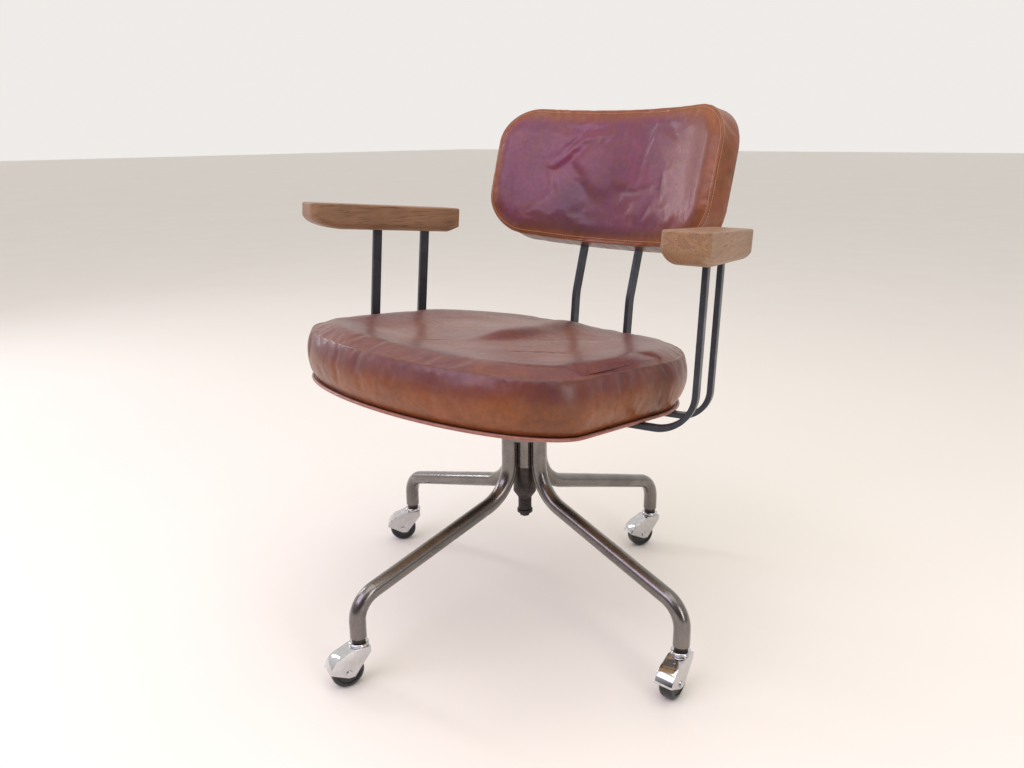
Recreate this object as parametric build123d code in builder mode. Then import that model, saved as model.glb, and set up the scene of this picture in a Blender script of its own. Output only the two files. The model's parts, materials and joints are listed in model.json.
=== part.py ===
from build123d import *
import math
import os

# Swivel desk chair with a screw lift. Millimetres, +Z up, the seat's front faces -Y and the
# sitter's left is +X. The origin is on the floor, on the axis of the hub and the spindle.

# ---- Driving dimensions ----
TUBE_R = 11.1
TUBE_WALL = 1.5
COLUMN_R = 19.0
COLUMN_WALL = 2.5
LEG_AXIS_R = COLUMN_R + TUBE_R
LEG_END_R = 296.5
LEG_END_Z = 65.5
LEG_TOP_Z = 276.0
LEG_INNER_Z = 193.5
LEG_OUTER_Z = 115.8
LEG_INNER_BEND = 60.0
LEG_OUTER_BEND = 38.0
LEG_TURN = -6.5

COLUMN_BOTTOM = 228.0
COLUMN_TOP = 282.0
NUT_BOTTOM = 177.0
NUT_R = 17.0
NUT_CHAMFER = 9.0
NUT_TAPER = 6.0
NUT_SPIGOT = 20.0
BUSHING_DEPTH = 22.0
BUSHING_RIM = 2.0
TOP_RING_THICKNESS = 4.0
SPINDLE_R = 10.0
RUNNING = 0.05
THREAD_PITCH = 4.0
THREAD_WIDTH = 2.4
THREAD_DEPTH = 1.1
THREAD_ANGLE = 60
SPINDLE_BOTTOM = 156.0
WASHER_R = 11.5
WASHER_THICKNESS = 4.0
END_BOLT_R = 4.0
END_BOLT_DEPTH = 20.0
END_BOLT_HEAD_R = 6.5
END_BOLT_HEAD = 5.5
BOSS_BOTTOM = 314.0
BOSS_R = 21.0
BOSS_SOCKET = 20.0
BOSS_CAP = 20.0

SEAT_Z = 430.0
SEAT_TILT = 5.0
SEAT_HALF_WIDTH = 241.0
SEAT_FRONT = 271.0
SEAT_BACK = -153.0
SEAT_SHOULDER = 160.0
SEAT_REAR_CORNER = 155.0
SEAT_BOTTOM = -77.0
SEAT_TOP = -2.0
BOARD_THICKNESS = 12.0
BOARD_INSET = 14.0
CUSHION_INSET = 2.0
CUSHION_ROUND = 16.0
CUSHION_LOWER_ROUND = 5.0
PIPING_HEIGHT = 3.5
PIPING_INSET = 5.0

BAR_THICKNESS = 7.0
BAR_WIDTH = 14.0
ARM_SPLAY = 16.7
ARM_MIDDLE = (279.3, -11.4)
ARM_BAR_PITCH = 82.0
ARM_UNDERSIDE = 121.0
ARM_LEAN = 4.0
ARM_BENDS = {"front": 46.0, "rear": 36.0}
ARM_BAR_INNER = 40.0
MORTISE = 15.0
ARM_LENGTH = 246.0
ARM_WIDTH = 53.0
ARM_THICKNESS = 38.0
ARM_FORWARD = 33.6
NOSE_LENGTH = 54.0
NOSE_HEIGHT = 21.0
TAIL_LENGTH = 18.0
TAIL_HEIGHT = 9.0

POST_SIDE = 51.0
POST_BACK = -183.0
POST_BEND = 20.0
POST_KINK = 38.0
POST_KINK_BEND = 90.0
POST_LEAN = 11.0
POST_LENGTH = 245.0

PAD_BACK = -184.0
PAD_UP = 219.3
PAD_LEAN = 11.0
PAD_WIDTH = 402.0
PAD_HEIGHT = 202.0
PAD_CORNER = 60.0
PAD_RADIUS = 400.0
PAD_DEPTH = 52.0
PAD_REAR_GROWTH = 3.0
PAD_ROUND = 4.0
PAD_REACH = 90.0
SLOT_CLEARANCE = 0.4
PAD_FRONT_DEPTH = 26.0
PAD_BOARD_DEPTH = 8.0
PAD_BOARD_INSET = 9.0

WHEEL_R = 22.0
WHEEL_WIDTH = 19.0
CASTER_TRAIL = 18.7
RIM_R = 15.5
TREAD_ROUND = 5.0
HOOD_WIDTH = 25.0
HOOD_R = 27.0
HOOD_TOP = 54.0
HOOD_CROWN = 12.0
HOOD_FRONT_EDGE = 46.0
HOOD_TIP = (11.5, 15.5)
HOOD_HEEL = (20.0, 15.5)
HOOD_TRAIL_LIFT = 0.22
HOOD_MIDDLE = 0.7
HOOD_LEAD = 1.35
HOOD_BAND = 3.2
HOOD_CLEARANCE = 0.8
HOOD_MOUTH = 3.0
COLLAR_R = 13.4
COLLAR_ROUND = 2.2
RACE_TOP = 59.0
AXLE_R = 3.0
RIVET_R = 4.2
RIVET_HEAD = 1.2
STEM_R = 5.5
STEM_IN_TUBE = 19.0
SLEEVE_R = 9.0
SLEEVE_BORE = 5.6
SLEEVE_IN_TUBE = 23.0
SLEEVE_GAP = 0.4

# name of each leg, the direction of the leg and the direction its caster trails
CORNERS = {
    "front": (270 + LEG_TURN, 251.5),
    "left": (360 + LEG_TURN, 273.0),
    "rear": (90 + LEG_TURN, 249.0),
    "right": (180 + LEG_TURN, 229.0),
}

os.makedirs("parts", exist_ok=True)


def save(builder, name):
    """Label a finished piece and write its STEP file."""
    builder.part.label = name
    export_step(builder.part, f"parts/{name}.step")


def polar(radius, degrees):
    angle = math.radians(degrees)
    return radius * math.cos(angle), radius * math.sin(angle)


# ---- Frames of the seat and of the backrest ----
# In the seat's plane local x is the sitter's left, local y is backward and z is up, off the seat.
tilt = math.radians(SEAT_TILT)
seat_plane = Plane(
    origin=(0, 0, SEAT_Z), x_dir=(1, 0, 0), z_dir=(0, math.sin(tilt), math.cos(tilt))
)
seat_up = Axis((0, 0, 0), seat_plane.z_dir)


def seat_point(side, forward, up):
    """A point given in the seat's frame, in the chair's frame."""
    return seat_plane.from_local_coords(Vector(side, -forward, up))


def seat_level(up):
    """The plane parallel to the seat at the height up."""
    return seat_plane.offset(up)


def splay_axes(sign):
    """Directions along an armrest and across it, outward, in the seat's frame."""
    splay = math.radians(ARM_SPLAY)
    along = (sign * math.sin(splay), math.cos(splay))
    outward = (sign * math.cos(splay), -math.sin(splay))
    return along, outward


def arm_place(sign, along_by, outward_by):
    """Side and forward coordinates of a place given along and across one armrest."""
    along, outward = splay_axes(sign)
    side = sign * ARM_MIDDLE[0] + along[0] * along_by + outward[0] * outward_by
    forward = ARM_MIDDLE[1] + along[1] * along_by + outward[1] * outward_by
    return side, forward


# ================= Base =================

with BuildPart() as hub_column:
    with BuildSketch(Plane.XY.offset(COLUMN_BOTTOM)):
        Circle(COLUMN_R)
        Circle(COLUMN_R - COLUMN_WALL, mode=Mode.SUBTRACT)
    extrude(amount=COLUMN_TOP - COLUMN_BOTTOM)
save(hub_column, "hub_column")

with BuildPart() as spindle_nut:
    with BuildSketch(Plane.XZ):
        bore = SPINDLE_R + RUNNING
        spigot = COLUMN_R - COLUMN_WALL
        chamfer_r = NUT_R - NUT_TAPER
        with BuildLine():
            Polyline(
                (bore, NUT_BOTTOM),
                (chamfer_r, NUT_BOTTOM),
                (NUT_R, NUT_BOTTOM + NUT_CHAMFER),
                (NUT_R, COLUMN_BOTTOM),
                (spigot, COLUMN_BOTTOM),
                (spigot, COLUMN_BOTTOM + NUT_SPIGOT),
                (bore, COLUMN_BOTTOM + NUT_SPIGOT),
                close=True,
            )
        make_face()
    revolve(axis=Axis.Z)
save(spindle_nut, "spindle_nut")

with BuildPart() as column_bushing:
    with BuildSketch(Plane.XZ):
        bore = SPINDLE_R + RUNNING
        spigot = COLUMN_R - COLUMN_WALL
        with BuildLine():
            Polyline(
                (bore, COLUMN_TOP - BUSHING_DEPTH),
                (spigot, COLUMN_TOP - BUSHING_DEPTH),
                (spigot, COLUMN_TOP),
                (COLUMN_R - 1, COLUMN_TOP),
                (COLUMN_R - 1, COLUMN_TOP + BUSHING_RIM),
                (bore, COLUMN_TOP + BUSHING_RIM),
                close=True,
            )
        make_face()
    revolve(axis=Axis.Z)
save(column_bushing, "column_bushing")

with BuildPart() as hub_top_ring:
    with BuildSketch(Plane.XY.offset(LEG_TOP_Z)):
        Circle(LEG_AXIS_R + TUBE_R)
        Circle(COLUMN_R, mode=Mode.SUBTRACT)
    extrude(amount=TOP_RING_THICKNESS)
    chamfer(hub_top_ring.edges().sort_by(Axis.Z)[-2:].sort_by(SortBy.RADIUS)[-1], 1)
save(hub_top_ring, "hub_top_ring")

for name, (direction, _) in CORNERS.items():
    leg_plane = Plane(
        origin=(0, 0, 0), x_dir=(*polar(1, direction), 0), z_dir=(*polar(1, direction - 90), 0)
    )
    with BuildPart() as leg:
        with BuildLine(leg_plane) as leg_path:
            FilletPolyline(
                (LEG_AXIS_R, LEG_TOP_Z),
                (LEG_AXIS_R, LEG_INNER_Z),
                (LEG_END_R, LEG_OUTER_Z),
                (LEG_END_R, LEG_END_Z),
                radius=[LEG_INNER_BEND, LEG_OUTER_BEND],
            )
        with BuildSketch(Plane(leg_path.line @ 0, z_dir=leg_path.line % 0)):
            Circle(TUBE_R)
            Circle(TUBE_R - TUBE_WALL, mode=Mode.SUBTRACT)
        sweep(path=leg_path.line)
    save(leg, f"leg_{name}")

with BuildPart() as caster_sleeves:
    for direction, _ in CORNERS.values():
        with BuildSketch(Plane(origin=(*polar(LEG_END_R, direction), RACE_TOP + SLEEVE_GAP))):
            Circle(SLEEVE_R)
            Circle(SLEEVE_BORE, mode=Mode.SUBTRACT)
        extrude(amount=LEG_END_Z - RACE_TOP - SLEEVE_GAP)
        with BuildSketch(Plane(origin=(*polar(LEG_END_R, direction), LEG_END_Z))):
            Circle(TUBE_R - TUBE_WALL - RUNNING)
            Circle(SLEEVE_BORE, mode=Mode.SUBTRACT)
        extrude(amount=SLEEVE_IN_TUBE)
save(caster_sleeves, "caster_sleeves")

# ================= Casters =================


def caster_plane(direction, trail):
    """Plane along one caster: local x is the way it trails, local y is up."""
    return Plane(
        origin=(*polar(LEG_END_R, direction), 0),
        x_dir=(*polar(1, trail), 0),
        z_dir=(*polar(1, trail - 90), 0),
    )


def hood_point(angle):
    """A point of the hood's round band, given by its angle above the trailing side of the axle."""
    return CASTER_TRAIL + HOOD_R * math.cos(angle), WHEEL_R + HOOD_R * math.sin(angle)


for name, (direction, trail) in CORNERS.items():
    upright = Plane(origin=(*polar(LEG_END_R, direction), 0))
    side_on = caster_plane(direction, trail)
    axle = side_on.from_local_coords(Vector(CASTER_TRAIL, WHEEL_R, 0))
    axle_plane = Plane(origin=axle, x_dir=side_on.x_dir, z_dir=side_on.z_dir)

    with BuildPart() as stem:
        with BuildSketch(upright.offset(HOOD_TOP)):
            Circle(STEM_R)
        extrude(amount=LEG_END_Z + STEM_IN_TUBE - HOOD_TOP)
        chamfer(stem.edges().sort_by(Axis.Z)[-1], 1.5)
    save(stem, f"caster_stem_{name}")

    with BuildPart() as collar:
        with BuildSketch(upright.offset(HOOD_TOP)):
            Circle(COLLAR_R)
            Circle(STEM_R, mode=Mode.SUBTRACT)
        extrude(amount=RACE_TOP - HOOD_TOP)
        outer = collar.edges().filter_by(GeomType.CIRCLE).filter_by(lambda edge: edge.radius > 10)
        fillet(outer, COLLAR_ROUND)
    save(collar, f"caster_collar_{name}")

    with BuildPart() as hood:
        with BuildSketch(side_on.offset(-HOOD_WIDTH / 2)):
            with BuildLine():
                ThreePointArc(
                    hood_point(HOOD_TRAIL_LIFT), hood_point(HOOD_MIDDLE), hood_point(HOOD_LEAD)
                )
                Line(hood_point(HOOD_LEAD), (HOOD_CROWN, HOOD_TOP))
                Line((HOOD_CROWN, HOOD_TOP), (-HOOD_CROWN, HOOD_TOP))
                Line((-HOOD_CROWN, HOOD_TOP), (-HOOD_CROWN, HOOD_FRONT_EDGE))
                Line((-HOOD_CROWN, HOOD_FRONT_EDGE), HOOD_TIP)
                Line(HOOD_TIP, HOOD_HEEL)
                Line(HOOD_HEEL, hood_point(HOOD_TRAIL_LIFT))
            make_face()
        extrude(amount=HOOD_WIDTH)
        with BuildSketch(side_on):
            with BuildLine():
                Polyline(
                    (-HOOD_R, 0),
                    (3 * HOOD_R, 0),
                    (3 * HOOD_R, WHEEL_R - HOOD_MOUTH),
                    (CASTER_TRAIL, WHEEL_R - HOOD_MOUTH),
                    (-HOOD_R, WHEEL_R + 2 * HOOD_MOUTH),
                    close=True,
                )
            make_face()
            with Locations((CASTER_TRAIL, WHEEL_R)):
                Circle(HOOD_R - HOOD_BAND)
        extrude(amount=WHEEL_WIDTH / 2 + HOOD_CLEARANCE, both=True, mode=Mode.SUBTRACT)
        with BuildSketch(axle_plane):
            Circle(AXLE_R)
        extrude(amount=HOOD_WIDTH, both=True, mode=Mode.SUBTRACT)
    save(hood, f"caster_hood_{name}")

    with BuildPart() as rivet:
        with BuildSketch(axle_plane):
            Circle(AXLE_R)
        extrude(amount=HOOD_WIDTH / 2, both=True)
        for side in (axle_plane.offset(HOOD_WIDTH / 2), axle_plane.offset(-HOOD_WIDTH / 2 - RIVET_HEAD)):
            with BuildSketch(side):
                Circle(RIVET_R)
            extrude(amount=RIVET_HEAD)
    save(rivet, f"caster_axle_{name}")

    with BuildPart() as wheel:
        with BuildSketch(axle_plane):
            Circle(RIM_R)
            Circle(AXLE_R + RUNNING, mode=Mode.SUBTRACT)
        extrude(amount=WHEEL_WIDTH / 2 - 1, both=True)
        chamfer(wheel.edges().filter_by(GeomType.CIRCLE).filter_by(lambda edge: edge.radius > 10), 0.6)
    save(wheel, f"caster_wheel_{name}")

    with BuildPart() as tyre:
        with BuildSketch(axle_plane):
            Circle(WHEEL_R)
            Circle(RIM_R, mode=Mode.SUBTRACT)
        extrude(amount=WHEEL_WIDTH / 2, both=True)
        fillet(tyre.edges().filter_by(GeomType.CIRCLE).filter_by(lambda edge: edge.radius > 20), TREAD_ROUND)
    save(tyre, f"caster_tyre_{name}")

# ================= Lift screw =================

with BuildPart() as lift_spindle:
    with BuildSketch(Plane.XY.offset(SPINDLE_BOTTOM)):
        Circle(SPINDLE_R)
    extrude(amount=BOSS_BOTTOM + BOSS_SOCKET - SPINDLE_BOTTOM)
    with BuildSketch(Plane.XZ):
        turns = int((COLUMN_TOP - 20 - SPINDLE_BOTTOM) / THREAD_PITCH)
        for turn in range(turns):
            with Locations((SPINDLE_R, SPINDLE_BOTTOM + (turn + 0.4) * THREAD_PITCH)):
                Trapezoid(
                    THREAD_WIDTH, THREAD_DEPTH, THREAD_ANGLE, rotation=90, align=(Align.CENTER, Align.MIN)
                )
    revolve(axis=Axis.Z, mode=Mode.SUBTRACT)
    with BuildSketch(Plane.XY.offset(SPINDLE_BOTTOM)):
        Circle(END_BOLT_R)
    extrude(amount=END_BOLT_DEPTH + 2, mode=Mode.SUBTRACT)
save(lift_spindle, "lift_spindle")

with BuildPart() as spindle_washer:
    with BuildSketch(Plane.XY.offset(SPINDLE_BOTTOM - WASHER_THICKNESS)):
        Circle(WASHER_R)
        Circle(END_BOLT_R + RUNNING, mode=Mode.SUBTRACT)
    extrude(amount=WASHER_THICKNESS - RUNNING)
save(spindle_washer, "spindle_washer")

with BuildPart() as spindle_end_bolt:
    with BuildSketch(Plane.XY.offset(SPINDLE_BOTTOM - WASHER_THICKNESS - RUNNING)):
        Circle(END_BOLT_R)
    extrude(amount=WASHER_THICKNESS + END_BOLT_DEPTH + RUNNING)
    with BuildSketch(Plane.XY.offset(SPINDLE_BOTTOM - WASHER_THICKNESS - RUNNING)):
        RegularPolygon(END_BOLT_HEAD_R, 6, major_radius=False)
    extrude(amount=-END_BOLT_HEAD)
save(spindle_end_bolt, "spindle_end_bolt")

# ================= Seat support =================

BAR_MIDDLE = SEAT_BOTTOM - BAR_THICKNESS / 2
PLATE_TOP = SEAT_BOTTOM - BAR_THICKNESS
PLATE_THICKNESS = 5.0
PLATE_FRONT = 122.0
PLATE_REAR = -45.0
PLATE_HALF_WIDTH = 78.0
PLATE_CORNER = 12.0
SCREW_ALONG_BARS = 60.0
OUTER_SCREW_SIDE = 185.0
POST_SCREWS_FORWARD = (-65.0, -108.0)
BOLT_R = 3.0
BOLT_HOLE_R = 3.2
WOOD_SCREW_R = 2.4
POST_SCREW_R = 2.1
TEE_BARREL_R = 4.0
TEE_FLANGE_R = 9.0
TEE_FLANGE = 1.2
TEE_RECESS = 2.0
BAR_RIM = 1.0
DRILL = 30.0


def bar_forward(side, lengthwise):
    """How far forward the middle of an arm bar lies where it passes the given side."""
    start_side, start_forward = arm_place(1, lengthwise, 0)
    return start_forward + (start_side - side) * math.tan(math.radians(ARM_SPLAY))


plate_screws = [
    (sign * SCREW_ALONG_BARS, bar_forward(SCREW_ALONG_BARS, lengthwise))
    for sign in (1, -1)
    for lengthwise in (ARM_BAR_PITCH / 2, -ARM_BAR_PITCH / 2)
]
outer_screws = [
    (sign * OUTER_SCREW_SIDE, bar_forward(OUTER_SCREW_SIDE, lengthwise))
    for sign in (1, -1)
    for lengthwise in (ARM_BAR_PITCH / 2, -ARM_BAR_PITCH / 2)
]
post_screws = [(sign * POST_SIDE, forward) for sign in (1, -1) for forward in POST_SCREWS_FORWARD]


def local(points):
    """Seat-frame side and forward pairs as local x and y of a seat level."""
    return [(side, -forward) for side, forward in points]


with BuildPart() as seat_support_plate:
    with BuildSketch(seat_level(PLATE_TOP)):
        with Locations((0, -(PLATE_FRONT + PLATE_REAR) / 2)):
            RectangleRounded(2 * PLATE_HALF_WIDTH, PLATE_FRONT - PLATE_REAR, PLATE_CORNER)
        with Locations(*local(plate_screws)):
            Circle(BOLT_HOLE_R, mode=Mode.SUBTRACT)
    extrude(amount=-PLATE_THICKNESS)
save(seat_support_plate, "seat_support_plate")

with BuildPart() as spindle_boss:
    with BuildSketch(Plane.XY.offset(BOSS_BOTTOM)):
        Circle(BOSS_R)
        Circle(SPINDLE_R, mode=Mode.SUBTRACT)
    extrude(amount=BOSS_SOCKET)
    with BuildSketch(Plane.XY.offset(BOSS_BOTTOM + BOSS_SOCKET)):
        Circle(BOSS_R)
    extrude(amount=BOSS_CAP)
    chamfer(spindle_boss.edges().filter_by(GeomType.CIRCLE).sort_by(Axis.Z)[:2], 1)
    split(bisect_by=seat_level(PLATE_TOP - PLATE_THICKNESS), keep=Keep.BOTTOM)
save(spindle_boss, "spindle_boss")

for sign, hand in ((1, "left"), (-1, "right")):
    along, outward = splay_axes(sign)
    for lengthwise, place in ((ARM_BAR_PITCH / 2, "front"), (-ARM_BAR_PITCH / 2, "rear")):
        root = arm_place(sign, lengthwise, 0)
        origin = seat_point(*root, 0)
        across = seat_point(root[0] + outward[0], root[1] + outward[1], 0) - origin
        bar_plane = Plane(origin=origin, x_dir=across, z_dir=across.cross(seat_plane.z_dir))
        run = (abs(root[0]) - ARM_BAR_INNER) / math.cos(math.radians(ARM_SPLAY))
        with BuildPart() as arm_bar:
            with BuildSketch(bar_plane):
                with BuildLine():
                    FilletPolyline(
                        (0, ARM_UNDERSIDE + MORTISE),
                        (ARM_LEAN, BAR_MIDDLE),
                        (-run, BAR_MIDDLE),
                        radius=ARM_BENDS[place],
                    )
                trace(line_width=BAR_THICKNESS)
            extrude(amount=BAR_WIDTH / 2, both=True)
            rims = arm_bar.faces().filter_by(Axis(origin, bar_plane.z_dir)).edges()
            fillet(rims, BAR_RIM)
            holes = [point for point in plate_screws + outer_screws if point[0] * sign > 0]
            with BuildSketch(seat_level(SEAT_BOTTOM)):
                with Locations(*local(holes)):
                    Circle(BOLT_HOLE_R)
            extrude(amount=-DRILL, mode=Mode.SUBTRACT)
        save(arm_bar, f"arm_bar_{hand}_{place}")

for sign, hand in ((1, "left"), (-1, "right")):
    post_plane = Plane(
        origin=seat_point(sign * POST_SIDE, 0, 0),
        x_dir=-(seat_plane.y_dir),
        z_dir=-(seat_plane.x_dir),
    )
    lean = math.radians(POST_LEAN)
    post_middle = SEAT_BOTTOM - BAR_WIDTH / 2
    with BuildPart() as back_post:
        with BuildSketch(post_plane):
            with BuildLine():
                FilletPolyline(
                    (PLATE_REAR, post_middle),
                    (POST_BACK, post_middle),
                    (POST_BACK, POST_KINK),
                    (POST_BACK - POST_LENGTH * math.sin(lean), POST_KINK + POST_LENGTH * math.cos(lean)),
                    radius=[POST_BEND, POST_KINK_BEND],
                )
            trace(line_width=BAR_WIDTH)
        extrude(amount=BAR_THICKNESS / 2, both=True)
        rims = back_post.faces().filter_by(Axis(post_plane.origin, post_plane.z_dir)).edges()
        fillet(rims, BAR_RIM)
        with BuildSketch(seat_level(SEAT_BOTTOM)):
            with Locations(*local(post_screws)):
                Circle(POST_SCREW_R)
        extrude(amount=-DRILL, mode=Mode.SUBTRACT)
    save(back_post, f"back_post_{hand}")


def screw_row(points, head_level, head_r, head_height, shank_r, shank_length):
    """Screws put up into the seat from below, their heads under head_level."""
    with BuildPart() as screws:
        with BuildSketch(seat_level(head_level)):
            with Locations(*local(points)):
                Circle(head_r)
        extrude(amount=-head_height)
        with BuildSketch(seat_level(head_level)):
            with Locations(*local(points)):
                Circle(shank_r)
        extrude(amount=shank_length)
    return screws


seat_bolts = screw_row(plate_screws, PLATE_TOP - PLATE_THICKNESS, 5.5, 4, BOLT_R, 22)
save(seat_bolts, "seat_bolts")
bar_screws = screw_row(outer_screws, PLATE_TOP, 5, 3, WOOD_SCREW_R, 16)
save(bar_screws, "arm_bar_screws")
back_screws = screw_row(post_screws, SEAT_BOTTOM - BAR_WIDTH, 4.5, 3, POST_SCREW_R, 24)
save(back_screws, "back_post_screws")

# ================= Seat =================


def seat_outline(inset):
    """D-shaped outline: half-ellipse at the front, straight sides, round rear corners."""
    half = SEAT_HALF_WIDTH - inset
    rear = -(SEAT_BACK + inset)
    shoulder = -SEAT_SHOULDER
    corner = SEAT_REAR_CORNER - inset
    with BuildSketch(mode=Mode.PRIVATE) as outline:
        with BuildLine():
            EllipticalCenterArc((0, shoulder), half, SEAT_FRONT - inset - SEAT_SHOULDER, 180, arc_size=180)
            Line((half, shoulder), (half, rear - corner))
            RadiusArc((half, rear - corner), (half - corner, rear), -corner)
            Line((half - corner, rear), (corner - half, rear))
            RadiusArc((corner - half, rear), (-half, rear - corner), -corner)
            Line((-half, rear - corner), (-half, shoulder))
        make_face()
    return outline.sketch


with BuildPart() as seat_board:
    with BuildSketch(seat_level(SEAT_BOTTOM)):
        add(seat_outline(BOARD_INSET))
        with Locations(*local(plate_screws)):
            Circle(TEE_BARREL_R, mode=Mode.SUBTRACT)
        with Locations(*local(outer_screws)):
            Circle(WOOD_SCREW_R, mode=Mode.SUBTRACT)
        with Locations(*local(post_screws)):
            Circle(POST_SCREW_R, mode=Mode.SUBTRACT)
    extrude(amount=BOARD_THICKNESS)
save(seat_board, "seat_board")

with BuildPart() as seat_tee_nuts:
    with BuildSketch(seat_level(SEAT_BOTTOM + TEE_RECESS)):
        with Locations(*local(plate_screws)):
            Circle(TEE_BARREL_R)
            Circle(BOLT_R, mode=Mode.SUBTRACT)
    extrude(amount=BOARD_THICKNESS - TEE_RECESS)
    with BuildSketch(seat_level(SEAT_BOTTOM + BOARD_THICKNESS)):
        with Locations(*local(plate_screws)):
            Circle(TEE_FLANGE_R)
            Circle(BOLT_R, mode=Mode.SUBTRACT)
    extrude(amount=TEE_FLANGE)
save(seat_tee_nuts, "seat_tee_nuts")

with BuildPart() as seat_cushion:
    with BuildSketch(seat_level(SEAT_BOTTOM + PIPING_HEIGHT)):
        add(seat_outline(CUSHION_INSET))
    extrude(amount=SEAT_TOP - SEAT_BOTTOM - PIPING_HEIGHT)
    top_edges = seat_cushion.faces().sort_by(seat_up)[-1].edges()
    bottom_edges = seat_cushion.faces().sort_by(seat_up)[0].edges()
    fillet(top_edges, CUSHION_ROUND)
    fillet(bottom_edges, CUSHION_LOWER_ROUND)
    with BuildSketch(seat_level(SEAT_BOTTOM)):
        add(seat_outline(BOARD_INSET))
    extrude(amount=BOARD_THICKNESS + TEE_FLANGE, mode=Mode.SUBTRACT)
    with BuildSketch(seat_level(SEAT_BOTTOM + BOARD_THICKNESS)):
        with Locations(*local(plate_screws)):
            Circle(TEE_BARREL_R)
    extrude(amount=BOARD_THICKNESS, mode=Mode.SUBTRACT)
save(seat_cushion, "seat_cushion")

with BuildPart() as seat_piping:
    with BuildSketch(seat_level(SEAT_BOTTOM)):
        add(seat_outline(PIPING_INSET))
        add(seat_outline(BOARD_INSET), mode=Mode.SUBTRACT)
    extrude(amount=PIPING_HEIGHT)
save(seat_piping, "seat_piping")

# ================= Armrests =================

for sign, hand in ((1, "left"), (-1, "right")):
    along, outward = splay_axes(sign)
    middle = arm_place(sign, ARM_FORWARD, 0)
    origin = seat_point(*middle, ARM_UNDERSIDE)
    lengthwise = seat_point(middle[0] + along[0], middle[1] + along[1], ARM_UNDERSIDE) - origin
    arm_side = Plane(origin=origin, x_dir=lengthwise, z_dir=lengthwise.cross(seat_plane.z_dir))
    nose = ARM_LENGTH / 2
    with BuildPart() as armrest:
        with BuildSketch(arm_side):
            with BuildLine():
                Polyline(
                    (nose, NOSE_HEIGHT),
                    (nose, ARM_THICKNESS),
                    (-nose, ARM_THICKNESS),
                    (-nose, TAIL_HEIGHT),
                    (TAIL_LENGTH - nose, 0),
                    (nose - NOSE_LENGTH, 0),
                )
                EllipticalCenterArc(
                    (nose - NOSE_LENGTH, NOSE_HEIGHT), NOSE_LENGTH, NOSE_HEIGHT, -90, arc_size=90
                )
            make_face()
        extrude(amount=ARM_WIDTH / 2, both=True)
        corners = armrest.edges().filter_by(seat_up)
        fillet(corners.sort_by(Axis((0, 0, 0), lengthwise))[-2:], 11)
        fillet(armrest.faces().sort_by(seat_up)[-1].edges(), 2.5)
        with BuildSketch(seat_level(ARM_UNDERSIDE)):
            for step in (ARM_BAR_PITCH / 2, -ARM_BAR_PITCH / 2):
                side, forward = arm_place(sign, step, 0)
                with Locations(Location((side, -forward), sign * ARM_SPLAY)):
                    Rectangle(BAR_THICKNESS + 2 * SLOT_CLEARANCE, BAR_WIDTH + 2 * RUNNING)
        extrude(amount=MORTISE + SLOT_CLEARANCE, mode=Mode.SUBTRACT)
    save(armrest, f"armrest_{hand}")

# ================= Backrest =================

pad_tilt = math.radians(SEAT_TILT + PAD_LEAN)
pad_plane = Plane(
    origin=seat_point(0, PAD_BACK, PAD_UP),
    x_dir=(1, 0, 0),
    z_dir=(0, -math.cos(pad_tilt), math.sin(pad_tilt)),
)
pad_out = Axis((0, 0, 0), pad_plane.z_dir)
# seen from above, local y of this plane points out of the pad's front
pad_section = Plane(origin=pad_plane.origin, x_dir=(-1, 0, 0), z_dir=pad_plane.y_dir)


def pad_band(front_depth, back_depth, inset):
    """A curved slab of the backrest between two depths behind its front face."""
    with BuildPart(mode=Mode.PRIVATE) as band:
        with BuildSketch(pad_section):
            with Locations((0, PAD_RADIUS)):
                Circle(PAD_RADIUS + back_depth)
                Circle(PAD_RADIUS + front_depth, mode=Mode.SUBTRACT)
        extrude(amount=PAD_HEIGHT, both=True)
        with BuildSketch(pad_plane.offset(PAD_REACH)):
            RectangleRounded(PAD_WIDTH - 2 * inset, PAD_HEIGHT - 2 * inset, PAD_CORNER - inset)
        extrude(amount=-2 * PAD_REACH, mode=Mode.INTERSECT)
    return band.part


with BuildPart() as backrest_board:
    add(pad_band(PAD_FRONT_DEPTH - PAD_BOARD_DEPTH, PAD_FRONT_DEPTH, PAD_BOARD_INSET))
save(backrest_board, "backrest_board")

with BuildPart() as backrest_front_cushion:
    add(pad_band(0, PAD_FRONT_DEPTH, CUSHION_INSET))
    fillet(backrest_front_cushion.faces().sort_by(pad_out)[-1].edges(), PAD_ROUND)
    add(
        pad_band(PAD_FRONT_DEPTH - PAD_BOARD_DEPTH, PAD_DEPTH, PAD_BOARD_INSET),
        mode=Mode.SUBTRACT,
    )
save(backrest_front_cushion, "backrest_front_cushion")

post_slots = []
for sign in (1, -1):
    slot_start = seat_point(sign * POST_SIDE, POST_BACK, POST_KINK)
    slot_plane = Plane(
        origin=slot_start,
        x_dir=(1, 0, 0),
        z_dir=(0, math.sin(pad_tilt), math.cos(pad_tilt)),
    )
    with BuildPart() as post_slot:
        with BuildSketch(slot_plane):
            Rectangle(BAR_THICKNESS + SLOT_CLEARANCE, BAR_WIDTH + SLOT_CLEARANCE)
        extrude(amount=POST_LENGTH + SLOT_CLEARANCE)
    post_slots.append(post_slot.part)

with BuildPart() as backrest_rear_cushion:
    add(pad_band(PAD_FRONT_DEPTH, PAD_DEPTH, -PAD_REAR_GROWTH))
    fillet(backrest_rear_cushion.faces().sort_by(pad_out)[0].edges(), PAD_ROUND)
    for post_slot in post_slots:
        add(post_slot, mode=Mode.SUBTRACT)
save(backrest_rear_cushion, "backrest_rear_cushion")
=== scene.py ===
import json
import math

import bmesh
import bpy
import numpy as np
from mathutils import Matrix, Vector, noise
from mathutils.bvhtree import BVHTree
from mathutils.geometry import delaunay_2d_cdt


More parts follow.
